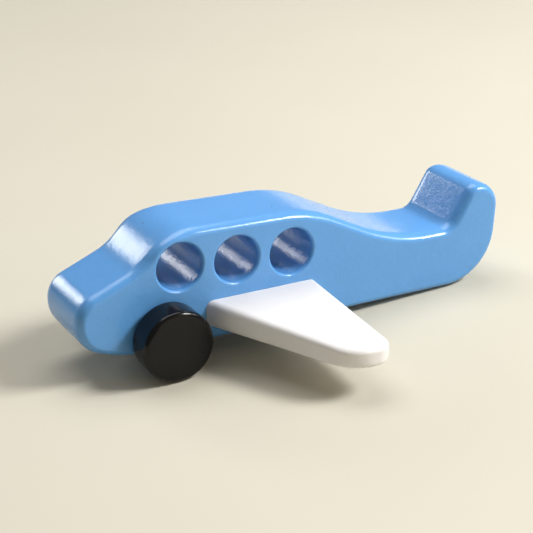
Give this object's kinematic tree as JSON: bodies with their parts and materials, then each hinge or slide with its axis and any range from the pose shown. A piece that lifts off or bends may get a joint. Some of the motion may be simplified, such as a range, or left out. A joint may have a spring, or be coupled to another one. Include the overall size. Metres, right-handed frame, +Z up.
{
  "type": "toy aeroplane",
  "caption": "Push-along wooden toy aeroplane: plank fuselage with round windows drilled through, stub wings glued on, and wheels on a turning axle.",
  "frame": {"origin": "on the ground, under the middle of the length and of the width, with the toy standing on its wheels and its tail", "axes": "+X towards the nose, +Y towards the left wing, +Z up"},
  "size_m": [0.1488, 0.1248, 0.0417],
  "materials": {
    "blue_paint": "gloss sky-blue paint on wood",
    "white_paint": "satin white paint on wood",
    "black_paint": "gloss black paint on wood",
    "bare_wood": "bare birch dowel"
  },
  "bodies": {
    "airframe": {"fuselage": "blue_paint", "wing_left": "white_paint", "wing_right": "white_paint", "wing_dowel_left_front": "bare_wood", "wing_dowel_left_rear": "bare_wood", "wing_dowel_right_front": "bare_wood", "wing_dowel_right_rear": "bare_wood"},
    "wheelset": {"axle": "bare_wood", "wheel_left": "black_paint", "wheel_right": "black_paint"}
  },
  "joints": [
    {"name": "wheelset_spin", "type": "hinge", "parent": "airframe", "child": "wheelset", "pos_m": [0.04787, 0, 0.0111], "axis": [0, 1, 0], "continuous": true}
  ]
}
